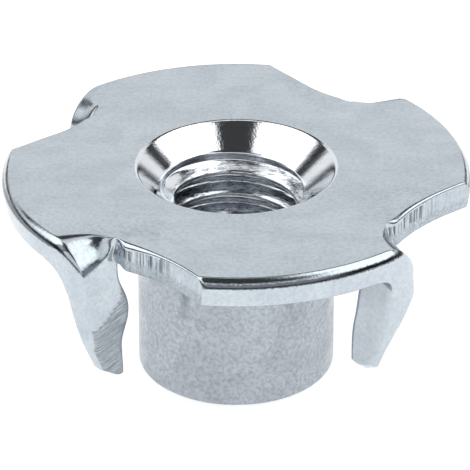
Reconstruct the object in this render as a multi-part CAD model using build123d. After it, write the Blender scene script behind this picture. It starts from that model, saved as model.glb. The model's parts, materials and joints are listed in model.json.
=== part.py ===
from build123d import *
from math import atan2, cos, hypot, pi, radians, sin, sqrt, tan
import os

os.makedirs("parts", exist_ok=True)

# Sheet and overall size of an M6 tee nut, millimetres
sheet = 1.2
height = 9.0
flange_radius = 9.5
prong_count = 4

# Flange rim, as the blanking die leaves it: rolled over at the top, drawn in a little below
roll_width = 0.28
roll_depth = 0.5
rim_draft = 0.1

# Barrel
barrel_radius = 4.0
barrel_end_round = 0.25
barrel_root_round = 0.4

# Bore: the radius over the crests of an M6 x 1 thread, its countersink and its lead-in
thread_crest_radius = 2.5
countersink_radius = 4.02
countersink_slope_deg = 41.0
lead_in = 0.35

# Notches: nearly straight cuts across the flange, turned outwards where the prong folds down
first_fold_deg = -46.5
prong_width = 2.35
prong_set_in = 0.01
notch_bow_radius = 20.0
notch_turn_radius = 6.0
notch_turn_start = 3.2

# Fold of the prong, about a line that runs out from the axis
fold_front = 1.0
fold_round_inside = 0.25
fold_round_at_root = 0.2
ridge_roll_end_depth = 2.6

# Prong side view: depth is measured from the flange top, inset from the line of the notch
prong_depth = 6.65
prong_shoulder_depth = 2.9
prong_tip_width = 0.44
prong_tip_inset = -0.28
prong_tip_round = 0.16
prong_tip_back_round = 0.7
prong_back_inner_edge = [(0.3, 1.4), (0.12, 3.2), (-0.13, 4.8)]
prong_front_inner_edge = [(0.13, 1.5), (-0.3, 3.4), (-0.22, 4.9)]

# Shaved facet that thins the prong towards its tip, below a slanting line on its front face
facet_line = [(-0.05, 2.8), (1.35, 3.85)]
facet_slope = 0.15

# Derived levels and places
top = height
under = height - sheet
notch_reach = flange_radius - prong_width
fold_back = fold_front - sheet
fold_round_at_rim = sheet + fold_round_inside
fold_start = fold_front - fold_round_at_rim
rim_at_fold = sqrt(flange_radius**2 - fold_start**2) - prong_set_in
rim_below_fold = rim_at_fold - rim_draft
draft = atan2(rim_draft, sheet - roll_depth)
tip_inner_reach = notch_reach + prong_tip_inset
tip_outer_reach = tip_inner_reach + prong_tip_width
past = 1.0


def revolved(outline):
    return revolve(Plane.XZ * make_face(outline), Axis.Z)


def flange_disc():
    rim_low = (flange_radius - rim_draft, under)
    rim_high = (flange_radius, top - roll_depth)
    roll_end = (flange_radius - roll_width, top)
    outline = Line((0, under), rim_low)
    outline += Line(rim_low, rim_high)
    outline += TangentArc(rim_high, roll_end, tangent=(0, 1))
    outline += Polyline(roll_end, (0, top), (0, under))
    return revolved(outline)


def barrel():
    turn = barrel_root_round
    end = barrel_end_round
    root = (barrel_radius + turn, under)
    neck = (barrel_radius, under - turn)
    inside = top - sheet / 2
    outline = Polyline((barrel_radius - end, 0), (0, 0), (0, inside), (root[0], inside), root)
    outline += TangentArc(root, neck, tangent=(-1, 0))
    outline += Line(neck, (barrel_radius, end))
    outline += TangentArc((barrel_radius, end), (barrel_radius - end, 0), tangent=(0, -1))
    return revolved(outline)


def bore():
    slope = radians(countersink_slope_deg)
    cone_depth = (countersink_radius - thread_crest_radius) / tan(slope)
    flare = past * tan(slope)
    outline = Polyline(
        (0, -past),
        (thread_crest_radius + lead_in + past, -past),
        (thread_crest_radius, lead_in),
        (thread_crest_radius, top - cone_depth),
        (countersink_radius + flare, top + past),
        (0, top + past),
        close=True,
    )
    return revolved(outline)


def notch_edge_reach(b):
    """How far out the notch's turned end lies, at the distance b past the fold line."""
    drop = notch_turn_start - b
    return notch_reach + notch_turn_radius - sqrt(notch_turn_radius**2 - drop**2)


def notch():
    """Cut through the flange, from the fold line round to the corner of the next lobe."""
    far = flange_radius
    bow = sqrt(notch_bow_radius**2 - (far - notch_turn_start) ** 2)
    start = (notch_reach + notch_bow_radius - bow, far)
    low = (notch_reach, notch_turn_start)
    root = (notch_edge_reach(fold_front), fold_front)
    outside = flange_radius + past
    outline = TangentArc(low, start, tangent=(0, 1))
    outline += TangentArc(low, root, tangent=(0, -1))
    outline += Polyline(root, (root[0], fold_start), (outside, fold_start), (outside, far), start)
    return Pos(0, 0, under - past) * extrude(make_face(outline), amount=sheet + 2 * past)


def shoulder_reach(taper):
    """Reach of the shoulder where the arc that leaves the rim meets an edge of this taper."""
    return rim_below_fold - (prong_shoulder_depth - sheet) * tan((taper + draft) / 2)


def prong_taper():
    """Angle of the prong's straight outer edge, found by halving until it meets the tip."""
    low, high = 0.0, pi / 2 - draft
    for _ in range(50):
        middle = (low + high) / 2
        landing = shoulder_reach(middle) - (prong_depth - prong_shoulder_depth) * tan(middle)
        if landing > tip_outer_reach:
            low = middle
        else:
            high = middle
    return low


def side_point(reach, depth):
    return (reach, top - depth)


def prong_side(b, inner_edge):
    """Side view of the prong as a face, standing at the distance b past the fold line."""
    rim_low = side_point(rim_below_fold, sheet)
    shoulder = side_point(shoulder_reach(prong_taper()), prong_shoulder_depth)
    tip_inner = side_point(tip_inner_reach, prong_depth)
    root_reach = notch_edge_reach(fold_front)
    inner = [side_point(notch_reach + inset, depth) for inset, depth in inner_edge]
    outline = Polyline(side_point(rim_at_fold, 0), side_point(rim_at_fold, roll_depth), rim_low)
    outline += TangentArc(rim_low, shoulder, tangent=(-sin(draft), -cos(draft)))
    outline += Polyline(shoulder, side_point(tip_outer_reach, prong_depth), tip_inner)
    outline += Spline([tip_inner] + inner[::-1])
    outline += Polyline(
        inner[0],
        side_point(root_reach, sheet - fold_round_at_root),
        side_point(root_reach, 0),
        side_point(rim_at_fold, 0),
    )
    face = make_face(outline)
    tips = face.vertices().sort_by(Axis.Y)[:2]
    return Plane(origin=(0, b, 0), x_dir=(1, 0, 0), z_dir=(0, -1, 0)) * fillet(tips, prong_tip_round)


def fold_section():
    """The fold seen from outside: flange sheet turning down into the prong, its tip rounded at the back."""
    crease = (fold_start, under)
    down = (fold_back, under - fold_round_inside)
    low = top - prong_depth
    tip_back = (fold_back, low + prong_tip_back_round)
    tip_low = (fold_back + prong_tip_back_round, low)
    outline = Polyline(crease, (fold_start, top), (fold_front, top), (fold_front, low), tip_low)
    outline += TangentArc(tip_low, tip_back, tangent=(-1, 0))
    outline += Line(tip_back, down)
    outline += TangentArc(down, crease, tangent=(0, 1))
    face = Plane.YZ * make_face(outline)
    return extrude(face, amount=flange_radius + past)


def round_section(reach, radius):
    """What the fold's outside round takes away at one distance from the axis."""
    clear = past / 2
    begin = (fold_front - radius, top)
    end = (fold_front, top - radius)
    beyond = fold_front + clear
    outline = TangentArc(begin, end, tangent=(1, 0))
    outline += Polyline(end, (beyond, top - radius), (beyond, top + clear), (begin[0], top + clear), begin)
    return Plane(origin=(reach, 0, 0), x_dir=(0, 1, 0), z_dir=(1, 0, 0)) * make_face(outline)


def fold_round():
    """The outside round of the fold, tight at the notch's root and full at the rim."""
    root = notch_edge_reach(fold_front)
    grown = fold_round_at_rim - fold_round_at_root
    stations = [(0.0, 0.0), (0.12, 0.32), (0.3, 0.57), (0.6, 0.8), (1.0, 1.0)]
    sections = []
    for along, share in stations:
        reach = root + along * (rim_at_fold - root)
        sections.append(round_section(reach, fold_round_at_root + share * grown))
    sections.append(round_section(rim_at_fold + past / 2, fold_round_at_rim))
    return loft(sections)


def ridge_section(ridge, normal, share):
    """What the roll-over takes off the prong's outer ridge at one point of it."""
    width = roll_width * share
    drop = roll_depth * share
    clear = past / 2
    outline = TangentArc((0, -drop), (-width, 0), tangent=(0, 1))
    outline += Polyline((-width, 0), (clear, clear), (0, -drop))
    return Plane(origin=ridge, x_dir=(1, 0, 0), z_dir=normal.cross(Vector(1, 0, 0))) * make_face(outline)


def ridge_roll():
    """The rim's roll-over carried round the fold and faded out down the prong."""
    sections = []
    for turned, share in [(0, 0.96), (30, 0.92), (60, 0.85), (90, 0.75)]:
        turn = radians(turned)
        depth = fold_round_at_rim * (1 - cos(turn))
        b = fold_start + fold_round_at_rim * sin(turn)
        reach = rim_at_fold - rim_draft * max(0, depth - roll_depth) / (sheet - roll_depth)
        sections.append(ridge_section((reach, b, top - depth), Vector(0, sin(turn), cos(turn)), share))
    end_reach = shoulder_reach(prong_taper()) + roll_width
    end = (end_reach, fold_front + roll_width / 3, top - ridge_roll_end_depth)
    sections.append(ridge_section(end, Vector(0, 1, 0), 0.3))
    return loft(sections)


def facet():
    """Block that shaves the prong's front face, deeper and deeper from the facet's line to the tip."""
    (root_inset, root_depth), (ridge_inset, ridge_depth) = facet_line
    run = ridge_inset - root_inset
    fall = ridge_depth - root_depth
    length = hypot(run, fall)
    along = Vector(run / length, 0, -fall / length)
    downhill = Vector(-fall / length, -facet_slope, -run / length).normalized()
    outward = along.cross(downhill)
    size = 6 * length
    if outward.Y < 0:
        outward = outward * -1
    origin = (notch_reach + root_inset, fold_front, top - root_depth)
    plane = Plane(origin=origin, x_dir=downhill, z_dir=outward)
    return plane * Box(size, size, past, align=(Align.MIN, Align.CENTER, Align.MIN))


def prong():
    sides = [prong_side(fold_start, prong_back_inner_edge), prong_side(fold_front, prong_front_inner_edge)]
    tab = loft(sides, ruled=True) & fold_section()
    tab -= fold_round()
    tab -= ridge_roll()
    tab -= facet()
    return tab


def around(shape, k):
    return Rot(0, 0, first_fold_deg + k * 360 / prong_count) * shape


def tee_nut():
    body = flange_disc() + barrel()
    one_notch = notch()
    one_prong = prong()
    for k in range(prong_count):
        body -= around(one_notch, k)
    for k in range(prong_count):
        body += around(one_prong, k)
    body -= bore()
    return body


nut = tee_nut()
nut.label = "tee_nut"
export_step(nut, "parts/tee_nut.step")
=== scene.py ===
import json
from bisect import bisect_right
from math import asin, atan2, cos, hypot, inf, pi, radians, sin, sqrt, tan

import bmesh
import bpy
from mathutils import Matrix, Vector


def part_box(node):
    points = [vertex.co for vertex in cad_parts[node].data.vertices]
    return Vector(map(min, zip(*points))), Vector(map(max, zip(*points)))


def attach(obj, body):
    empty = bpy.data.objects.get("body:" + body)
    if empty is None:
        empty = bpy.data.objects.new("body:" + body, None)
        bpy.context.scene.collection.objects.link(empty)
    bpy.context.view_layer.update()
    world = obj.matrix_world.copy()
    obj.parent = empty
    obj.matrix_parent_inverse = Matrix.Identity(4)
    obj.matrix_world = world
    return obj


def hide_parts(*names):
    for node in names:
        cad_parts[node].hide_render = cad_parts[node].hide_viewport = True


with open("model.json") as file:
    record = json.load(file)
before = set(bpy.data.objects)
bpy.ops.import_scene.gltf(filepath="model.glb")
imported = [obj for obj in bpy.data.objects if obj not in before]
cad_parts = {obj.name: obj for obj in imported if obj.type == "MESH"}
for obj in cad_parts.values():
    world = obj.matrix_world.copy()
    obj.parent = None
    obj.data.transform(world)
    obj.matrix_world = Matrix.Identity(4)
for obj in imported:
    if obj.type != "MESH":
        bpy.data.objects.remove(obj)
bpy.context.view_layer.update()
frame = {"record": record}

MM = 0.001

# ---------------------------------------------------------------- sizes, millimetres
# Reach is measured from the axis along a prong's fold line, b square to it, and depth down from the top.
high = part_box("tee_nut")[1]
mount_radius = {m["name"]: m["dims"]["r_mm"] for m in frame["record"]["mounts"] if "r_mm" in m["dims"]}
TOP = high[2] / MM
RIM = high[0] / MM
SHEET = 1.2

# Barrel and bore
BARREL = mount_radius["barrel"] + 0.03
BARREL_END_ROUND = 0.24
BARREL_ROOT_ROUND = 0.4
CREST = mount_radius["thread"]
ROOT = 3.02
PITCH = 1.0
THREAD_START = 0.96         # depth of a crest at angle 0
CREST_FLAT = 0.075          # half the width of a crest
FLANK = 0.32                # width of a flank along the axis
COUNTERSINK = 4.02
COUNTERSINK_SLOPE = radians(41.0)
COUNTERSINK_LIP = ((4.6, 0), (4.2, 0), (4.12, 0), (4.1, 0.002), (4.075, 0.008), (4.045, 0.02), (4.018, 0.035))
COUNTERSINK_END = 1.3       # depth below which the bore counts as thread
LEAD_IN = 0.42
LEAD_RADIUS = CREST + 0.05 + LEAD_IN

# Prongs and their folds
FIRST_FOLD = radians(-46.5)
PRONGS = 4
FOLD_FRONT = 1.0            # b of a prong's front face
FOLD_BACK = FOLD_FRONT - SHEET
FOLD_DEPTH = 1.65           # outside bend at the rim
FOLD_START = FOLD_FRONT - FOLD_DEPTH
FOLD_INSIDE = 1.05          # inside bend at the rim
OUTER_START = RIM - 0.021   # reach of a prong's outer edge at the top
TIP_DEPTH = 6.75
TIP_BACK_DEPTH = 6.2

# Rim and notches
ROLL_WIDTH = 0.28
ROLL_DEPTH = 0.5
ROLL_RADIUS = (ROLL_WIDTH**2 + ROLL_DEPTH**2) / (2 * ROLL_WIDTH)
RIM_DRAFT = 0.1
EDGE_BREAK = 0.05           # rounding of an edge's lower corner
EDGE_BREAK_DEPTH = 0.09
NOTCH = 7.15
NOTCH_BOW = 20.0
NOTCH_TURN = 6.0
NOTCH_TURN_START = 3.2
ROOT_B = 0.97               # where a notch's wall meets the prong
SAG = 0.11

# Depths of the points across a sheared or rolled edge
EDGE_DEPTHS = [0.0, 0.012, 0.04, 0.085, 0.15, 0.23, 0.33, 0.42, 0.5, 0.64, 0.8, 0.95, 1.08, 1.16, 1.2]
EDGE_POINTS = len(EDGE_DEPTHS)


# ---------------------------------------------------------------- small helpers
def mix(a, b, t):
    return a + (b - a) * t


def smooth(lo, hi, x):
    """0 at lo, 1 at hi, eased between them; lo may be the greater."""
    t = min(1.0, max(0.0, (x - lo) / (hi - lo)))
    return t * t * (3 - 2 * t)


def curve(points, x):
    """Height at x of a smooth line through the points, level beyond its ends."""
    if x <= points[0][0]:
        return points[0][1]
    if x >= points[-1][0]:
        return points[-1][1]
    i = bisect_right([p[0] for p in points], x) - 1
    (x0, y0), (x1, y1) = points[i], points[i + 1]
    step = x1 - x0
    before = points[i - 1] if i else None
    after = points[i + 2] if i + 2 < len(points) else None
    slope0 = (y1 - before[1]) / (x1 - before[0]) if before else (y1 - y0) / step
    slope1 = (after[1] - y0) / (after[0] - x0) if after else (y1 - y0) / step
    t = (x - x0) / step
    rise = (1 + 2 * t) * (1 - t) ** 2 * y0 + t * t * (3 - 2 * t) * y1
    return rise + step * (t * (1 - t) ** 2 * slope0 - t * t * (1 - t) * slope1)


def spread(lo, hi, count):
    return [mix(lo, hi, i / count) for i in range(count + 1)]


# ---------------------------------------------------------------- flange outline
def notch_reach(b):
    """Distance of the notch's edge from the axis, measured along the fold."""
    bow = NOTCH_TURN if b < NOTCH_TURN_START else NOTCH_BOW
    return NOTCH + bow - sqrt(bow**2 - (b - NOTCH_TURN_START) ** 2)


def sag(reach, b, depth):
    """How far the sheet was drawn down beside the root of a notch."""
    along = smooth(-1.2, 1.7, b) * (1 - smooth(1.9, 4.6, b))
    edge = notch_reach(max(b, ROOT_B))
    across = smooth(edge - 2.4, edge + 0.4, reach) * (1 - smooth(edge + 0.3, edge + 1.6, reach))
    return SAG * along * across * (1 - smooth(1.2, 2.6, depth))


def place(reach, b, depth, quarter):
    """Point in metres from its place in a prong's own frame."""
    turn = FIRST_FOLD + quarter * 2 * pi / PRONGS
    x = reach * cos(turn) - b * sin(turn)
    y = reach * sin(turn) + b * cos(turn)
    return (x * MM, y * MM, (TOP - depth - sag(reach, b, depth)) * MM)


def in_prong_frame(x, y, quarter):
    """(reach, b) of a point in one prong's frame."""
    turn = FIRST_FOLD + quarter * 2 * pi / PRONGS
    return x * cos(turn) + y * sin(turn), -x * sin(turn) + y * cos(turn)


def roll_inset(depth):
    """How far the rolled rim lies inside its widest line."""
    if depth >= ROLL_DEPTH:
        return 0.0
    return ROLL_RADIUS - sqrt(ROLL_RADIUS**2 - (ROLL_DEPTH - depth) ** 2)


def bottom_break(depth):
    """How far the lower corner of an edge is rounded off."""
    return EDGE_BREAK * smooth(SHEET - EDGE_BREAK_DEPTH, SHEET, depth) ** 2


def rim_inset(depth):
    """How far the rim lies inside its widest line: roll, draft and lower corner."""
    draft = RIM_DRAFT * max(0.0, depth - ROLL_DEPTH) / (SHEET - ROLL_DEPTH)
    return roll_inset(depth) + draft + bottom_break(depth)


# Inset of the wall at the notch's root against depth; width and depth of the rolled strip against b
ROOT_INSET = [(0.0, 0.08), (0.2, 0.08), (0.42, 0.06), (0.75, -0.05), (0.95, -0.02), (1.2, 0.19)]
STRIP_WIDTH = [(0.9, 0.24), (1.8, 0.2), (3.2, 0.12), (6.0, 0.07)]
STRIP_DEPTH = [(0.9, 0.3), (1.8, 0.22), (3.2, 0.13), (6.0, 0.08)]


def notch_inset(depth, b):
    """Distance of the notch's wall inside its line: a small rolled strip, then the sheared wall."""
    width = curve(STRIP_WIDTH, b)
    share = 1 - min(1.0, depth / curve(STRIP_DEPTH, b))
    rolled = width * (1 - sqrt(max(0.0, 1 - share**2)))
    wall = rolled - width + bottom_break(depth)
    return mix(curve(ROOT_INSET, depth), wall, smooth(ROOT_B, 1.7, b))


def notch_end(depth):
    """Where the notch's wall meets the rim at a depth."""
    near, far = NOTCH_TURN_START, RIM
    for _ in range(40):
        b = (near + far) / 2
        if hypot(notch_reach(b) - notch_inset(depth, b), b) < RIM - rim_inset(depth):
            near = b
        else:
            far = b
    return near


NOTCH_ENDS = [notch_end(depth) for depth in EDGE_DEPTHS]


# ---------------------------------------------------------------- mesh builder
class Skin:
    """Collects grids of points, welds their shared borders, and makes one closed mesh."""

    def __init__(self):
        self.mesh = bmesh.new()
        self.welded = {}

    def vertex(self, point):
        key = tuple(round(c * 2e6) for c in point)
        if key not in self.welded:
            self.welded[key] = self.mesh.verts.new(point)
        return self.welded[key]

    def face(self, corners, finish):
        kept = []
        for corner in corners:
            if corner not in kept:
                kept.append(corner)
        if len(kept) < 3 or self.mesh.faces.get(kept):
            return
        made = self.mesh.faces.new(kept)
        made.material_index = finish
        made.smooth = True

    def grid(self, rows, finish, closed=False):
        """Quads between rows of points. finish is a number or a function of (row, column)."""
        grid = [[self.vertex(p) for p in row] for row in rows]
        for i in range(len(grid) - 1):
            columns = len(grid[i])
            for j in range(columns if closed else columns - 1):
                k = (j + 1) % columns
                index = finish(i, j) if callable(finish) else finish
                self.face([grid[i][j], grid[i][k], grid[i + 1][k], grid[i + 1][j]], index)

    def zip(self, outer, inner, finish):
        """Triangles between two rings about the axis with different numbers of points."""
        rings = []
        for ring in (outer, inner):
            marked = sorted((atan2(p[1], p[0]), self.vertex(p)) for p in dict.fromkeys(ring))
            rings.append(marked + [(marked[0][0] + 2 * pi, marked[0][1])])
        a, b = 0, 0
        while a < len(rings[0]) - 1 or b < len(rings[1]) - 1:
            step_a = rings[0][a + 1][0] if a < len(rings[0]) - 1 else inf
            step_b = rings[1][b + 1][0] if b < len(rings[1]) - 1 else inf
            if step_a <= step_b:
                self.face([rings[0][a][1], rings[0][a + 1][1], rings[1][b][1]], finish)
                a += 1
            else:
                self.face([rings[0][a][1], rings[1][b + 1][1], rings[1][b][1]], finish)
                b += 1


# Finishes, in the order of the materials further down
SHEET_FACE, ROLLED, SHEARED, COUNTERSUNK, THREADED, DRAWN = range(6)
skin = Skin()


# ---------------------------------------------------------------- prongs
def prong_outer(depth):
    """Reach of a prong's outer edge."""
    if depth <= ROLL_DEPTH:
        return OUTER_START
    return curve([(0.5, 9.479), (1.2, 9.379), (1.6, 9.312), (2.0, 9.225), (2.45, 9.1), (2.9, 8.945),
                  (3.4, 8.735), (6.65, 7.315)], depth)


def prong_inner_front(depth):
    """Reach of the front face's inner edge."""
    return curve([(1.2, 7.385), (1.37, 7.36), (1.6, 7.3), (2.1, 7.25), (2.6, 7.08), (3.07, 6.9), (3.5, 6.82),
                  (3.95, 6.87), (4.4, 6.95), (5.5, 6.94), (6.65, 6.9)], depth)


def prong_inner_back(depth):
    """Reach of the back face's inner edge."""
    return curve([(1.2, 7.5), (1.4, 7.45), (2.0, 7.38), (2.7, 7.33), (3.7, 7.18), (4.4, 7.04), (5.15, 6.94),
                  (5.9, 6.89), (6.65, 6.9)], depth)


def crown_width(reach):
    """How far back from the prong's front face the fold starts: little at the notch, most at the rim."""
    return curve([(7.5, 0.03), (7.63, 0.15), (7.85, 0.58), (8.13, 0.93), (8.64, 1.3), (9.2, 1.65)], reach)


def crown_depth(reach):
    """How far down the fold ends."""
    return curve([(7.5, 0.5), (7.85, 0.92), (8.13, 1.22), (8.64, 1.5), (9.2, 1.65)], reach)


FACET_STEP = 0.035
FACET_LEAN = 0.38


def facet_edge(reach):
    """Depth at which the scored facet starts."""
    return curve([(6.8, 2.0), (7.22, 2.4), (7.32, 2.97), (7.56, 3.18), (7.85, 3.46), (8.14, 3.69),
                  (8.5, 3.86)], reach)


def facet_drop(reach, depth):
    """The scored facet lies a little under the prong's front face and leans back towards the tip."""
    edge = facet_edge(reach)
    step = FACET_STEP * smooth(edge - 0.03, edge + 0.07, depth)
    return step + FACET_LEAN * smooth(3.9, 5.5, depth) * smooth(edge, edge + 0.8, depth)


BACK_LEAN = 0.12            # how far the back face leans in towards the tip
WIDTH_POINTS = 22
THICKNESS_POINTS = EDGE_POINTS - 1
LEG_ROWS = 46
BEND_STEPS = 60
BEND_FLATNESS = 0.5         # 0 is a circle, 1 nearly straight in the middle
ROUNDING_PASSES = 6
width_shares = spread(0.0, 1.0, WIDTH_POINTS)


def ridge_share(turned, depth):
    """How much of the rim's roll is left round the fold and down the outer ridge."""
    around = curve([(0, 1.0), (0.33, 0.94), (0.66, 0.87), (1.0, 0.78)], turned)
    return around * (1 - smooth(1.5, 2.8, depth))


def root_column():
    """Points where the notch's wall meets the prong's front face."""
    points = []
    for depth in EDGE_DEPTHS:
        reach = notch_reach(ROOT_B) - notch_inset(depth, ROOT_B)
        points.append((reach, mix(ROOT_B, FOLD_FRONT, smooth(0, 0.2, depth)), depth))
    return points


root_points = root_column()


def bend_table():
    """Points of a quarter turn that is flatter in its middle than a circle, from (0, 0) to (1, 1)."""
    points = [(0.0, 0.0)]
    for i in range(BEND_STEPS):
        t = (i + 0.5) / BEND_STEPS
        angle = pi / 2 * (t + BEND_FLATNESS * sin(2 * pi * t) / (2 * pi))
        points.append((points[-1][0] + cos(angle), points[-1][1] + sin(angle)))
    return [(x / points[-1][0], y / points[-1][1]) for x, y in points]


bend_points = bend_table()


def bend(turned):
    """(across, down), each from 0 to 1, at a share of the quarter turn."""
    whole = min(int(turned * BEND_STEPS), BEND_STEPS - 1)
    near, far = bend_points[whole], bend_points[whole + 1]
    return [mix(a, b, turned * BEND_STEPS - whole) for a, b in zip(near, far)]


def fold_section(angle, through):
    """(b, depth) at a turn round the fold and a share of the way through the sheet, at its outer edge."""
    across, down = bend(angle / (pi / 2))
    front = (FOLD_START + FOLD_DEPTH * across, FOLD_DEPTH * down)
    back = (FOLD_BACK - FOLD_INSIDE * (1 - sin(angle)), SHEET + FOLD_INSIDE * (1 - cos(angle)))
    return mix(front[0], back[0], through), mix(front[1], back[1], through)


def fold_front_point(i, share):
    """Front face at one row of the fold, at a share of the way from the rim to the notch's root."""
    turned = i / (EDGE_POINTS - 1)
    start = mix(OUTER_START - ROLL_WIDTH, root_points[0][0], share)
    reached = mix(FOLD_DEPTH, SHEET, share)
    wide, deep = crown_width(start), min(crown_depth(start), reached)
    turn = pi / 2 * sqrt((wide**2 + deep**2) / 2)
    path = turn + reached - deep
    along = path * mix(turned, EDGE_DEPTHS[i] / SHEET, share**6)
    if along < turn:
        over, down = bend(along / turn)
        b, depth = FOLD_FRONT - wide + wide * over, deep * down
    else:
        b, depth = FOLD_FRONT, reached - (path - along)
    outer = prong_outer(depth) - ROLL_WIDTH * ridge_share(turned, 0)
    return mix(outer, root_points[i][0], share), b, depth


def fold_edge_point(i, across):
    """Outer edge at one row of the fold, at a distance through the sheet."""
    turned = i / (EDGE_POINTS - 1)
    b, depth = fold_section(turned * pi / 2, across / SHEET)
    if i == 0:
        return sqrt((RIM - rim_inset(across)) ** 2 - b**2), b, depth
    return prong_outer(depth) - roll_inset(across) * ridge_share(turned, 0) - bottom_break(across), b, depth


def fold_back_point(i, share, outer):
    """Back face at one row of the fold: a full bend at the rim, none at the inner edge."""
    radius = FOLD_INSIDE * (1 - share) ** 0.8
    angle = i / (EDGE_POINTS - 1) * pi / 2
    depth = SHEET + radius * (1 - cos(angle))
    return mix(outer, prong_inner_back(depth), share), FOLD_BACK - radius * (1 - sin(angle)), depth


def fold_rows():
    """Rows of points round the fold, as (reach, b, depth): front face, outer edge and back face."""
    fronts, edges, backs = [], [], []
    for i in range(EDGE_POINTS):
        edge = [fold_edge_point(i, across) for across in EDGE_DEPTHS]
        front = [fold_front_point(i, share) for share in width_shares]
        back = [fold_back_point(i, share, edge[-1][0]) for share in width_shares]
        front[0], front[-1], back[0] = edge[0], root_points[i], edge[-1]
        fronts.append(front)
        edges.append(edge)
        backs.append(back)
    return fronts, edges, backs


def eased(points, start, formula, i):
    """Points of a leg's row, which follow the fold's last row at first and the leg's own lines below it."""
    left = 1 - smooth(0, 7, i)
    return [tuple(p + left * (s - f) for p, s, f in zip(*triple)) for triple in zip(points, start, formula)]


def leg_margin(depth):
    """What the easing of the leg's corners takes off its inner edge."""
    return 0.14 * smooth(1.4, 3.0, depth)


def leg_outer(depth, through):
    """Reach of the leg's outer edge at a share of the way through the sheet: wide behind, bulged lower down."""
    behind = 0.27 * smooth(2.2, 4.4, depth)
    bulge = 0.25 * smooth(3.6, 5.0, depth) * sin(through * pi)
    return prong_outer(depth) + mix(0.14, behind, through) * smooth(1.4, 2.6, depth) + bulge


def leg_end(share, through):
    """Depth of the leg's end at a share of its width: rounded off towards both edges, more so outside."""
    outside = mix(0.42, 0.3, through) * (1 - share) ** 2.2
    return mix(TIP_DEPTH, TIP_BACK_DEPTH, through) - outside - 0.1 * share ** 5


def leg_row(down, front_start, edge_start, back_start):
    """Front face, outer edge and back face of the leg at a share of its length below the fold."""
    def back_lean(depth):
        return BACK_LEAN * smooth(4.2, 6.4, depth)

    front, back, outer = [], [], []
    for share, start in zip(width_shares, front_start):
        depth = mix(start[2], leg_end(share, 0), down)
        outside = leg_outer(depth, 0) - ROLL_WIDTH * ridge_share(1, depth)
        reach = mix(outside, prong_inner_front(depth) - leg_margin(depth), share)
        front.append((reach, FOLD_FRONT - facet_drop(reach, depth), depth))
    for share, start in zip(width_shares, back_start):
        depth = mix(start[2], leg_end(share, 1), down)
        reach = mix(leg_outer(depth, 1) - 0.05, prong_inner_back(depth) - leg_margin(depth), share)
        back.append((reach, FOLD_BACK + back_lean(depth), depth))
    for across, start in zip(EDGE_DEPTHS, edge_start):
        depth = mix(start[2], leg_end(0, across / SHEET), down)
        drop = facet_drop(leg_outer(depth, 0), depth)
        thickness = mix(drop, SHEET - back_lean(depth), across / SHEET)
        roll = roll_inset(across) * ridge_share(1, depth)
        reach = leg_outer(depth, across / SHEET) - roll - bottom_break(across)
        outer.append((reach, FOLD_FRONT - thickness, depth))
    return front, outer, back


def leg_loops(starts):
    """Closed loops down the leg. Each runs in over the front face, then inner edge, back face, outer edge."""
    loops = []
    formulas = leg_row(0, *starts)
    for i in range(LEG_ROWS + 1):
        even = i / LEG_ROWS
        down = even + 0.18 * sin(even * pi) ** 2 * (1 - even)
        row = leg_row(down, *starts)
        front, outer, back = [eased(p, s, f, i) for p, s, f in zip(row, starts, formulas)]
        inner = [tuple(mix(a, z, share) for a, z in zip(front[-1], back[-1]))
                 for share in spread(0, 1, THICKNESS_POINTS)]
        outer[0], outer[-1] = front[0], back[0]
        loops.append(front[:-1] + inner[:-1] + back[::-1][:-1] + outer[::-1][:-1])
    return loops


def rounded(loop, strength):
    """The same loop with its corners eased."""
    count = len(loop)
    for _ in range(ROUNDING_PASSES):
        loop = [tuple(mix(loop[j][c], (loop[j - 1][c] + loop[(j + 1) % count][c]) / 2, 0.5 * strength)
                      for c in range(3)) for j in range(count)]
    return loop


# Share of the leg's last loop, and millimetres below it
TIP_CAP = [(0.93, 0.045), (0.8, 0.085), (0.58, 0.115), (0.3, 0.13)]


def tip_cap(loop):
    """Loops that round off the tip, each smaller and lower than the one before."""
    middle = [sum(p[c] for p in loop) / len(loop) for c in range(3)]
    return [[(mix(middle[0], p[0], share), mix(middle[1], p[1], share), mix(middle[2], p[2], share) + lower)
             for p in loop] for share, lower in TIP_CAP]


front_fold, edge_fold, back_fold = fold_rows()
leg = leg_loops((front_fold[-1], edge_fold[-1], back_fold[-1]))
leg = [rounded(loop, smooth(0, 5, i)) for i, loop in enumerate(leg)]


def leg_finish(i, j):
    """The inner edge is sheared; the other faces keep the sheet's skin."""
    return SHEARED if WIDTH_POINTS <= j < WIDTH_POINTS + THICKNESS_POINTS else SHEET_FACE


def build_prong(quarter):
    def put(points):
        return [place(*p, quarter) for p in points]

    skin.grid([put(row) for row in front_fold], SHEET_FACE)
    skin.grid([put(row) for row in edge_fold], ROLLED)
    skin.grid([put(row) for row in back_fold], SHEET_FACE)
    skin.grid([put(loop) for loop in leg], leg_finish, closed=True)
    caps = tip_cap(leg[-1])
    skin.grid([put(leg[-1])] + [put(loop) for loop in caps], SHEET_FACE, closed=True)
    last = put(caps[-1])
    centre = skin.vertex(tuple(sum(p[c] for p in last) / len(last) for c in range(3)))
    ring = [skin.vertex(p) for p in last]
    for j in range(len(ring)):
        skin.face([ring[j], ring[(j + 1) % len(ring)], centre], SHEET_FACE)


# ---------------------------------------------------------------- flange
NOTCH_POINTS = 44
RIM_POINTS = 46
notch_shares = [s - 0.06 * sin(2 * pi * s) for s in spread(0, 1, NOTCH_POINTS)]


def notch_place(share, n):
    """(reach, b, depth) at a share of the notch's length, at one of the edge's depths."""
    depth = EDGE_DEPTHS[n]
    b = mix(ROOT_B, NOTCH_ENDS[n], share)
    return notch_reach(b) - notch_inset(depth, b), b, depth


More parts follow.
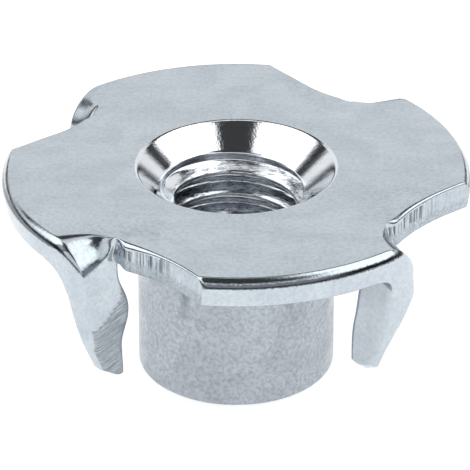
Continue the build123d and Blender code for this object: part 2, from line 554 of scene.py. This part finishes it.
def rim_place(share, n):
    """(reach, b, depth) at a share of the lobe's rim, at one of the edge's depths."""
    depth = EDGE_DEPTHS[n]
    reach, b, _ = notch_place(1, n)
    start = atan2(b, reach)
    radius = RIM - rim_inset(depth)
    end = 2 * pi / PRONGS - asin(-fold_section(0, depth / SHEET)[0] / radius)
    angle = mix(start, end, share)
    return radius * cos(angle), radius * sin(angle), depth


def notch_finish(i, j):
    """The upper strip keeps the sheet's skin; the rest of the wall is sheared."""
    b = mix(ROOT_B, NOTCH_ENDS[0], notch_shares[i])
    return SHEET_FACE if EDGE_DEPTHS[j + 1] < curve(STRIP_DEPTH, b) + 0.02 else SHEARED


def build_edges(quarter):
    """Walls of one notch and one lobe's rim; returns their top and bottom lines."""
    across = range(EDGE_POINTS)
    notch = [[place(*notch_place(share, n), quarter) for n in across] for share in notch_shares]
    notch[0] = [place(*p, quarter) for p in root_points]
    rim = [[place(*rim_place(share, n), quarter) for n in across] for share in spread(0, 1, RIM_POINTS)]
    rim[0] = notch[-1]
    rim[-1] = [place(*p, quarter + 1) for p in edge_fold[0]]
    skin.grid(notch, notch_finish)
    skin.grid(rim, ROLLED)
    top = [c[0] for c in notch] + [c[0] for c in rim[1:-1]]
    bottom = [c[-1] for c in notch] + [c[-1] for c in rim[1:-1]]
    return top, bottom


def local_sag(x, y):
    """Sag at a point of the flange, in whichever prong's frame it lies."""
    total = 0.0
    for quarter in range(PRONGS):
        reach, b = in_prong_frame(x, y, quarter)
        if reach > 0 and b > -1.3:
            total += sag(reach, b, 0)
    return total


# Radii of the circles on which the broad faces end: top, underside, and the barrel's round below it
TOP_CIRCLE, UNDERSIDE_CIRCLE, ROOT_CIRCLE = 4.7, 4.9, 4.8
RING_SHARES = [0, 0.012, 0.03, 0.055, 0.085, 0.12, 0.165, 0.22, 0.29, 0.38, 0.5, 0.64, 0.8, 1.0]


def build_face(outline, inner_reach, depth):
    """One broad face of the flange, from its outline in to a circle. The spokes spread evenly on the way."""
    first = atan2(outline[0][1], outline[0][0])
    rings = [outline]
    for share in RING_SHARES[1:]:
        ring = []
        for n, point in enumerate(outline):
            even = first + 2 * pi * n / len(outline)
            angle = atan2(point[1], point[0])
            angle += 2 * pi * round((even - angle) / (2 * pi))
            angle = mix(angle, even, share**1.5)
            reach = mix(hypot(point[0], point[1]), inner_reach * MM, share)
            x, y = reach * cos(angle), reach * sin(angle)
            ring.append((x, y, (TOP - depth - local_sag(x / MM, y / MM)) * MM))
        rings.append(ring)
    skin.grid(rings, SHEET_FACE, closed=True)
    return rings[-1]


def build_flange():
    top_outline, bottom_outline = [], []
    for quarter in range(PRONGS):
        build_prong(quarter)
        top, bottom = build_edges(quarter)
        top_outline += [place(*p, quarter) for p in front_fold[0][:-1]] + top
        inner_border = leg[0][WIDTH_POINTS:WIDTH_POINTS + THICKNESS_POINTS + 1]
        bottom_outline += [place(*p, quarter) for p in back_fold[0][:-1]]
        bottom_outline += [place(*p, quarter) for p in inner_border[::-1][:-1]] + bottom
    return build_face(top_outline, TOP_CIRCLE, 0), build_face(bottom_outline, UNDERSIDE_CIRCLE, SHEET)


# ---------------------------------------------------------------- barrel and bore
AROUND = 168


def thread_radius(angle, depth):
    """Inside of the M6 thread: flanks at 60 degrees, small flats, softened corners."""
    phase = (depth - THREAD_START + angle / (2 * pi) * PITCH) % PITCH / PITCH
    away = min(phase, 1 - phase) * PITCH
    rise = min(1.0, max(0.0, (away - CREST_FLAT) / FLANK))
    rise = rise * rise * (3 - 2 * rise) * 0.35 + rise * 0.65
    return CREST + (ROOT - CREST) * rise


def bore_radius(angle, depth):
    """Radius of the bore: the widest of thread, countersink and lead-in, with their meeting lines eased."""
    blend = 0.05
    cone = COUNTERSINK - (depth - 0.03) / tan(COUNTERSINK_SLOPE)
    lead = LEAD_RADIUS - (TOP - depth)
    radius = thread_radius(angle, depth)
    for other in (cone, lead):
        gap = max(0.0, blend - abs(radius - other)) / blend
        radius = max(radius, other) + blend / 4 * gap * gap
    return radius


def ring(radius, depth):
    """Points round the axis. radius is a number or a function of (angle, depth)."""
    points = []
    for j in range(AROUND):
        angle = 2 * pi * j / AROUND
        reach = (radius(angle, depth) if callable(radius) else radius) * MM
        points.append((reach * cos(angle), reach * sin(angle), (TOP - depth) * MM))
    return points


def build_bore(top_ring, bottom_ring):
    """Countersink, thread, the barrel's end and outside, and the joins to the flange's two faces."""
    lip = [ring(*p) for p in COUNTERSINK_LIP]
    skin.grid(lip, lambda i, j: COUNTERSUNK if i > 1 else SHEET_FACE, closed=True)
    depths = []
    depth = 0.06
    while depth < TOP - 0.03:
        depths.append(depth)
        depth += 0.08 if depth < 1.0 else 0.045
    rows = [lip[-1]] + [ring(bore_radius, depth) for depth in depths] + [ring(LEAD_RADIUS, TOP - 0.008)]

    def bore_finish(i, j):
        return COUNTERSUNK if i == 0 or depths[i - 1] < COUNTERSINK_END else THREADED

    skin.grid(rows, bore_finish, closed=True)
    end_start, straight_end = TOP - BARREL_END_ROUND, SHEET + BARREL_ROOT_ROUND
    quarter_turn = spread(0, pi / 2, 8)[1:]
    outer = [rows[-1]] + [ring(r, TOP) for r in (LEAD_RADIUS + 0.02, 3.3, BARREL - BARREL_END_ROUND)]
    outer += [ring(BARREL - BARREL_END_ROUND * (1 - sin(a)), TOP - BARREL_END_ROUND * (1 - cos(a)))
              for a in quarter_turn]
    outer += [ring(BARREL, d) for d in spread(end_start, straight_end, 24)[1:]]
    outer += [ring(BARREL + BARREL_ROOT_ROUND * (1 - cos(a)), straight_end - BARREL_ROOT_ROUND * sin(a))
              for a in quarter_turn]
    skin.grid(outer, DRAWN, closed=True)
    underside = ring(ROOT_CIRCLE, SHEET)
    skin.grid([outer[-1], underside], SHEET_FACE, closed=True)
    skin.zip(top_ring, lip[0], SHEET_FACE)
    skin.zip(bottom_ring, underside, SHEET_FACE)


top_ring, bottom_ring = build_flange()
build_bore(top_ring, bottom_ring)
bmesh.ops.recalc_face_normals(skin.mesh, faces=skin.mesh.faces)

nut_mesh = bpy.data.meshes.new("tee_nut_zinc")
skin.mesh.to_mesh(nut_mesh)
skin.mesh.free()


def facet_mask(point):
    """1 on the scored facet of a prong, 0 elsewhere."""
    depth = TOP - point[2] / MM
    if depth < 1.9:
        return 0.0
    for quarter in range(PRONGS):
        reach, b = in_prong_frame(point[0] / MM, point[1] / MM, quarter)
        if reach > 6.5 and FOLD_FRONT - facet_drop(reach, depth) - 0.12 < b < FOLD_FRONT + 0.05:
            edge = facet_edge(reach)
            return smooth(edge - 0.02, edge + 0.07, depth) * smooth(9.0, 8.6, reach)
    return 0.0


def fold_shade_mask(point):
    """Painted shade: 1 in the hollow of a fold, less towards a prong's tip, 0 elsewhere."""
    depth = TOP - point[2] / MM
    if depth < SHEET - 0.05:
        return 0.0
    for quarter in range(PRONGS):
        reach, b = in_prong_frame(point[0] / MM, point[1] / MM, quarter)
        if reach > 6.2 and -2.6 < b < FOLD_BACK + 0.14:
            near_fold = smooth(-2.6, -0.7, b) * smooth(6.2, 7.2, reach) * smooth(9.3, 8.6, reach)
            return near_fold * mix(0.35, 1.0, smooth(3.6, 2.0, depth))
    return 0.0


# The second layer holds the painted shade of the folds.
facet = nut_mesh.attributes.new("facet", "FLOAT", "POINT")
fold_shade_layer = nut_mesh.attributes.new("painted_fold_shade", "FLOAT", "POINT")
for vertex in nut_mesh.vertices:
    facet.data[vertex.index].value = facet_mask(vertex.co)
    fold_shade_layer.data[vertex.index].value = fold_shade_mask(vertex.co)
nut = bpy.data.objects.new("tee_nut_zinc", nut_mesh)
bpy.context.collection.objects.link(nut)
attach(nut, "root")
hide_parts("tee_nut")


# ---------------------------------------------------------------- node helpers
class Nodes:
    """Short calls for adding and joining shader nodes in one tree."""

    def __init__(self, tree):
        self.tree = tree

    def add(self, kind, inputs=None, **settings):
        made = self.tree.nodes.new(kind)
        for name, value in settings.items():
            setattr(made, name, value)
        for name, value in (inputs or {}).items():
            self.put(made.inputs[name], value)
        return made

    def put(self, socket, value):
        if isinstance(value, bpy.types.NodeSocket):
            self.tree.links.new(value, socket)
        else:
            socket.default_value = value

    def maths(self, operation, *values):
        made = self.add("ShaderNodeMath", operation=operation)
        for socket, value in zip(made.inputs, values):
            self.put(socket, value)
        return made.outputs[0]

    def ramp(self, value, lo, hi, to_lo=0.0, to_hi=1.0):
        """Smooth step of a value between lo and hi."""
        made = self.add("ShaderNodeMapRange", interpolation_type="SMOOTHSTEP", inputs={
            "Value": value, "From Min": lo, "From Max": hi, "To Min": to_lo, "To Max": to_hi})
        return made.outputs["Result"]

    def blend(self, share, a, b):
        made = self.add("ShaderNodeMix", data_type="RGBA")
        for socket, value in ((made.inputs[0], share), (made.inputs[6], a), (made.inputs[7], b)):
            self.put(socket, value)
        return made.outputs[2]

    def chain(self, operation, values):
        result = values[0]
        for value in values[1:]:
            result = self.maths(operation, result, value)
        return result

    def product(self, *values):
        return self.chain("MULTIPLY", values)

    def total(self, *values):
        return self.chain("ADD", values)

    def greatest(self, *values):
        return self.chain("MAXIMUM", values)

    def position(self):
        return self.add("ShaderNodeTexCoord").outputs["Object"]

    def split(self, vector):
        return self.add("ShaderNodeSeparateXYZ", inputs={"Vector": vector}).outputs

    def from_axis(self, parts):
        """Distance from the bore's axis, of a split position."""
        squares = [self.product(parts[name], parts[name]) for name in ("X", "Y")]
        return self.maths("SQRT", self.total(*squares))

    def stretched(self, vector, scale):
        return self.add("ShaderNodeMapping", inputs={"Vector": vector, "Scale": scale}).outputs["Vector"]

    def noise(self, vector, per_mm, detail=3.0, rough=0.5, twist=0.0):
        made = self.add("ShaderNodeTexNoise", inputs={
            "Vector": vector, "Scale": per_mm * 1000, "Detail": detail, "Roughness": rough, "Distortion": twist})
        return made.outputs["Fac"]


def new_group(name, takes, gives):
    """Shader node group; takes and gives map socket names to (kind, default)."""
    tree = bpy.data.node_groups.new(name, "ShaderNodeTree")
    for direction, sockets in (("INPUT", takes), ("OUTPUT", gives)):
        for label, (kind, value) in sockets.items():
            socket = tree.interface.new_socket(label, in_out=direction, socket_type="NodeSocket" + kind)
            if value is not None:
                socket.default_value = value
    nodes = Nodes(tree)
    return nodes, nodes.add("NodeGroupInput").outputs, nodes.add("NodeGroupOutput").inputs


def make_mottle():
    """Clouded zinc: soft patches, long faint streaks and a fine speckle."""
    nodes, given, out = new_group("zinc_mottle", {
        "Light": ("Color", (0.7, 0.74, 0.78, 1)), "Dark": ("Color", (0.6, 0.64, 0.68, 1)),
        "Tint": ("Color", (0.7, 0.7, 0.78, 1)), "Streak": ("Float", 0.5), "Speckle": ("Float", 0.3)}, {
        "Colour": ("Color", None), "Cloud": ("Float", None), "Speckle": ("Float", None)})
    spot = nodes.position()
    cloud = nodes.noise(spot, 0.55, 4, 0.55, 0.6)
    streak = nodes.noise(nodes.stretched(spot, (0.22, 1.0, 1.0)), 1.1, 3, 0.55, 0.3)
    streaked = nodes.total(cloud, nodes.product(nodes.maths("SUBTRACT", streak, 0.5), given["Streak"]))
    patch = nodes.ramp(streaked, 0.25, 0.75)
    grain = nodes.ramp(nodes.noise(spot, 6.0, 3, 0.65), 0.36, 0.7)
    colour = nodes.blend(patch, given["Dark"], given["Light"])
    tinted = nodes.blend(nodes.ramp(streak, 0.5, 0.72, 0.0, 0.6), colour, given["Tint"])
    shade = nodes.blend(0.45, tinted, (0.0, 0.0, 0.0, 1))
    specked = nodes.blend(nodes.product(grain, given["Speckle"]), tinted, shade)
    nodes.put(out["Colour"], specked)
    nodes.put(out["Cloud"], patch)
    nodes.put(out["Speckle"], grain)
    return nodes.tree


def make_surface():
    """Height of a worked metal surface: slow waves, a fine pebble and scratches that run across it."""
    nodes, given, out = new_group("worked_surface", {
        "Waves": ("Float", 0.5), "Pebble": ("Float", 0.2), "Scratches": ("Float", 0.1)}, {
        "Height": ("Float", None)})
    spot = nodes.position()
    wave = nodes.noise(spot, 0.45, 2, 0.45, 0.4)
    pebble = nodes.noise(spot, 11.0, 2, 0.6)
    scratch = nodes.noise(nodes.stretched(spot, (0.12, 1.0, 1.0)), 14.0, 2, 0.5)
    nodes.put(out["Height"], nodes.total(
        nodes.product(wave, given["Waves"]), nodes.product(pebble, given["Pebble"]),
        nodes.product(scratch, given["Scratches"])))
    return nodes.tree


mottle, surface = make_mottle(), make_surface()

ZINC_LIGHT = (0.60, 0.66, 0.70, 1)
ZINC_DARK = (0.53, 0.59, 0.64, 1)
ZINC_TINT = (0.55, 0.58, 0.66, 1)
TORN_DARK = (0.36, 0.4, 0.44, 1)
TORN_LIGHT = (0.6, 0.65, 0.69, 1)
DRAG_MARK = (0.1, 0.11, 0.13, 1)
# Colour of the painted dark reflection on the rolled rim.
PAINTED_DARK_REFLECTION = (0.08, 0.09, 0.1, 1)
SCORE_LINE = (0.2, 0.22, 0.25, 1)
# Colour of the painted shade in the hollows of the folds.
PAINTED_FOLD_SHADE = (0.29, 0.3, 0.33, 1)
TAP_TEAR = (0.13, 0.14, 0.16, 1)
RELIEF = 0.00006            # metres of bump at full height


def zinc(name, light=ZINC_LIGHT, dark=ZINC_DARK, tint=ZINC_TINT, rough=(0.1, 0.16), streak=0.6, speckle=0.25,
         waves=0.5, pebble=0.12, scratches=0.03, bump=0.3, change=None):
    """Zinc-plated steel. change may alter the colour, roughness and height before they reach the shader."""
    material = bpy.data.materials.new(name)
    material.use_nodes = True
    tree = material.node_tree
    nodes = Nodes(tree)
    shader = tree.nodes["Principled BSDF"]
    shader.inputs["Metallic"].default_value = 1.0
    cloud = nodes.add("ShaderNodeGroup", node_tree=mottle, inputs={
        "Light": light, "Dark": dark, "Tint": tint, "Streak": streak, "Speckle": speckle})
    relief = nodes.add("ShaderNodeGroup", node_tree=surface, inputs={
        "Waves": waves, "Pebble": pebble, "Scratches": scratches})
    colour = cloud.outputs["Colour"]
    roughness = nodes.total(nodes.ramp(cloud.outputs["Cloud"], 0, 1, rough[1], rough[0]),
                            nodes.product(cloud.outputs["Speckle"], 0.06))
    height = relief.outputs["Height"]
    if change:
        colour, roughness, height = change(nodes, colour, roughness, height)
    lift = nodes.add("ShaderNodeBump", inputs={"Height": height, "Strength": bump, "Distance": RELIEF})
    nodes.put(shader.inputs["Base Color"], colour)
    nodes.put(shader.inputs["Roughness"], roughness)
    nodes.put(shader.inputs["Normal"], lift.outputs["Normal"])
    return material


def sheared(nodes, colour, roughness, height):
    """Burnished upper part with upright score marks, torn darker zone under it."""
    spot = nodes.position()
    parts = nodes.split(spot)
    rag = nodes.noise(nodes.stretched(spot, (1.0, 1.0, 0.25)), 4.0, 3, 0.6)
    line = nodes.maths("MULTIPLY_ADD", rag, 0.0006, 0.00795)
    torn = nodes.ramp(nodes.maths("SUBTRACT", line, parts["Z"]), -0.00006, 0.00008)
    score = nodes.noise(nodes.stretched(spot, (1.0, 1.0, 0.05)), 7.0, 3, 0.65)
    bands = nodes.ramp(score, 0.42, 0.6)
    grain = nodes.noise(spot, 11.0, 3, 0.7)
    near_root = nodes.ramp(nodes.from_axis(parts), 0.0078, 0.0085, 1.0, 0.1)
    burnished = nodes.blend(nodes.product(bands, near_root, 0.92), colour, DRAG_MARK)
    rough_zone = nodes.blend(nodes.ramp(grain, 0.35, 0.65), TORN_DARK, TORN_LIGHT)
    colour = nodes.blend(nodes.product(torn, 0.8), burnished, rough_zone)
    roughness = nodes.total(roughness, nodes.product(torn, 0.15))
    height = nodes.total(height, nodes.product(score, near_root, 1.5), nodes.product(torn, grain, 0.9))
    return colour, roughness, height


def rolled(nodes, colour, roughness, height):
    """Rolled rim: combed across, with a painted dark reflection as a ragged band under the curve."""
    spot = nodes.position()
    level = nodes.split(spot)["Z"]
    comb = nodes.noise(nodes.stretched(spot, (1.0, 1.0, 0.3)), 9.0, 3, 0.7)
    ragged = nodes.maths("MULTIPLY_ADD", nodes.maths("SUBTRACT", comb, 0.5), 0.00016, level)
    line = nodes.product(nodes.ramp(ragged, 0.0086, 0.00864), nodes.ramp(ragged, 0.00884, 0.00878))
    # Painted reflection: a ragged dark band under the curve of the rim.
    colour = nodes.blend(nodes.product(line, 0.8), colour, PAINTED_DARK_REFLECTION)
    return colour, roughness, nodes.total(height, nodes.product(comb, 0.3))


def scored(nodes, colour, roughness, height):
    """The sheet's own finish, with painted shade in the folds, and on a prong's facet fine lines that rise to the
    barrel.
    """
    facet = nodes.add("ShaderNodeAttribute", attribute_name="facet").outputs["Fac"]
    spot = nodes.position()
    parts = nodes.split(spot)
    radius = nodes.from_axis(parts)
    rise = nodes.maths("MULTIPLY_ADD", radius, 0.3, parts["Z"])
    along = nodes.add("ShaderNodeCombineXYZ", inputs={"X": nodes.product(radius, 0.06), "Z": rise}).outputs[0]
    lines = nodes.noise(along, 17.0, 2, 0.6)
    cut = nodes.product(nodes.ramp(lines, 0.4, 0.6, 0.3, 0.85), facet)
    colour = nodes.blend(cut, colour, SCORE_LINE)
    fold = nodes.add("ShaderNodeAttribute", attribute_name="painted_fold_shade").outputs["Fac"]
    grain = nodes.ramp(nodes.noise(spot, 5.0, 3, 0.6), 0.3, 0.7, 0.7, 1.0)
    # Painted shade: darkens the colour in the folds and down a prong's back face.
    colour = nodes.blend(nodes.product(fold, grain, 0.55), colour, PAINTED_FOLD_SHADE)
    roughness = nodes.total(roughness, nodes.product(facet, 0.14))
    return colour, roughness, nodes.total(height, nodes.product(lines, facet, 1.3))


def drawn_thread(nodes, colour, roughness, height):
    """Flanks torn a little by the tap: short lines round the bore."""
    tears = nodes.noise(nodes.stretched(nodes.position(), (0.35, 0.35, 3.0)), 7.0, 3, 0.65)
    colour = nodes.blend(nodes.ramp(tears, 0.5, 0.66, 0.0, 0.75), colour, TAP_TEAR)
    return colour, roughness, nodes.total(height, nodes.product(tears, 0.8))


BRIGHT = (0.86, 0.89, 0.92, 1)
for finish in (
        zinc("zinc_sheet", pebble=0.16, change=scored),
        zinc("zinc_rolled_edge", rough=(0.09, 0.14), pebble=0.16, change=rolled),
        zinc("zinc_sheared_edge", rough=(0.18, 0.26), change=sheared),
        zinc("zinc_countersink", light=BRIGHT, dark=(0.78, 0.81, 0.85, 1), rough=(0.04, 0.07), waves=0.3, pebble=0.2,
             speckle=0.1),
        zinc("zinc_thread", light=BRIGHT, dark=(0.7, 0.74, 0.78, 1), rough=(0.1, 0.16), pebble=0.15,
             change=drawn_thread),
        zinc("zinc_drawn_barrel", light=(0.5, 0.54, 0.585, 1), dark=(0.44, 0.475, 0.515, 1),
             tint=(0.47, 0.49, 0.55, 1), rough=(0.24, 0.32), speckle=0.6, pebble=0.25)):
    nut_mesh.materials.append(finish)


# ---------------------------------------------------------------- studio
def seen_by_eye(nodes):
    """1 for rays from the camera and for what metal or glass shows."""
    path = nodes.add("ShaderNodeLightPath").outputs
    return nodes.greatest(path["Is Camera Ray"], path["Is Glossy Ray"], path["Is Transmission Ray"])


SIDE_LEVEL, RING_LEVEL, OVER_LEVEL, BELOW_LEVEL, DARK_LEVEL = 1.75, 0.9, 0.9, 0.8, 0.05


def build_world():
    """White cards at both sides, a pale ring low down, a pale card overhead, and dark gaps between them.

    The metal shows the cards. The camera sees white all round."""
    world = bpy.data.worlds.new("studio")
    bpy.context.scene.world = world
    world.use_nodes = True
    nodes = Nodes(world.node_tree)
    x, y, z = nodes.split(nodes.add("ShaderNodeTexCoord").outputs["Generated"])
    aside = nodes.maths("ABSOLUTE", x)
    bearing = nodes.maths("DIVIDE", y, nodes.maths("ADD", aside, 0.001))

    def area(*limits):
        """1 where every value is past its limit. A limit is (value, nothing here, full here)."""
        return nodes.product(*[nodes.ramp(*limit) for limit in limits])

    side_card = area((aside, 0.23, 0.3), (y, -0.37, -0.3), (y, 0.46, 0.36), (z, 0.28, 0.35))
    low_card = area((aside, 0.46, 0.54), (y, -0.6, -0.52), (y, 0.0, -0.1), (z, 0.34, 0.42))
    over_card = area((aside, 0.32, 0.26), (y, -0.02, 0.06), (y, 0.42, 0.34), (z, 0.7, 0.8))
    gap = area((bearing, 0.3, 0.4), (bearing, 1.0, 0.86), (z, 0.3, 0.38))
    low_gap = area((bearing, -0.95, -0.8), (bearing, 0.1, 0.0), (z, 0.46, 0.36))
    ring_card = nodes.product(area((z, 0.1, 0.24), (z, 0.66, 0.6)), nodes.maths("SUBTRACT", 1.0, gap),
                              nodes.maths("SUBTRACT", 1.0, low_gap))
    below = area((z, 0.0, -0.02))
    cards = nodes.greatest(nodes.product(nodes.greatest(side_card, low_card), SIDE_LEVEL),
                           nodes.product(ring_card, RING_LEVEL), nodes.product(over_card, OVER_LEVEL),
                           nodes.product(below, BELOW_LEVEL))
    seen = nodes.add("ShaderNodeLightPath").outputs["Is Camera Ray"]
    background = world.node_tree.nodes["Background"]
    nodes.put(background.inputs["Strength"], nodes.greatest(nodes.total(cards, DARK_LEVEL), seen))
    background.inputs["Color"].default_value = (0.985, 0.993, 1.0, 1)


FLOOR_GLOW = 0.75
FLOOR_HALF = 0.5


def build_floor():
    """White paper that glows for the eye, to stay white, and keeps the nut's shadow. Clear from below."""
    material = bpy.data.materials.new("floor_paper")
    material.use_nodes = True
    nodes = Nodes(material.node_tree)
    shader = material.node_tree.nodes["Principled BSDF"]
    shader.inputs["Roughness"].default_value = 1.0
    shader.inputs["Specular IOR Level"].default_value = 0.0
    fibre = nodes.noise(nodes.position(), 0.8, 3)
    nodes.put(shader.inputs["Base Color"], nodes.blend(fibre, (0.5, 0.51, 0.52, 1), (0.55, 0.55, 0.55, 1)))
    shader.inputs["Emission Color"].default_value = (1, 1, 1, 1)
    nodes.put(shader.inputs["Emission Strength"], nodes.product(seen_by_eye(nodes), FLOOR_GLOW))
    clear = nodes.add("ShaderNodeBsdfTransparent")
    one_sided = nodes.add("ShaderNodeMixShader", inputs={
        0: nodes.add("ShaderNodeNewGeometry").outputs["Backfacing"],
        1: shader.outputs[0], 2: clear.outputs[0]})
    nodes.put(material.node_tree.nodes["Material Output"].inputs["Surface"], one_sided.outputs[0])
    mesh = bpy.data.meshes.new("studio_floor")
    corners = [(-FLOOR_HALF, -FLOOR_HALF, 0), (FLOOR_HALF, -FLOOR_HALF, 0),
               (FLOOR_HALF, FLOOR_HALF, 0), (-FLOOR_HALF, FLOOR_HALF, 0)]
    mesh.from_pydata(corners, [], [(0, 1, 2, 3)])
    mesh.materials.append(material)
    floor = bpy.data.objects.new("studio_floor", mesh)
    bpy.context.collection.objects.link(floor)


build_world()
build_floor()

# ---------------------------------------------------------------- camera
CAMERA_ELEVATION = radians(29.235)
CAMERA_DISTANCE = 0.15955
AIM_HEIGHT = 0.005
LENS = 298.1
SHIFT = (-0.0026, 0.0356)
camera_data = bpy.data.cameras.new("camera")
camera = bpy.data.objects.new("camera", camera_data)
bpy.context.collection.objects.link(camera)
camera.location = (0, -cos(CAMERA_ELEVATION) * CAMERA_DISTANCE,
                   AIM_HEIGHT + sin(CAMERA_ELEVATION) * CAMERA_DISTANCE)
camera.rotation_euler = (pi / 2 - CAMERA_ELEVATION, 0, 0)
camera_data.sensor_width = 36
camera_data.lens = LENS
camera_data.shift_x, camera_data.shift_y = SHIFT
camera_data.clip_start = 0.01
camera_data.clip_end = 10
bpy.context.scene.camera = camera
bpy.context.scene.view_settings.view_transform = "Standard"
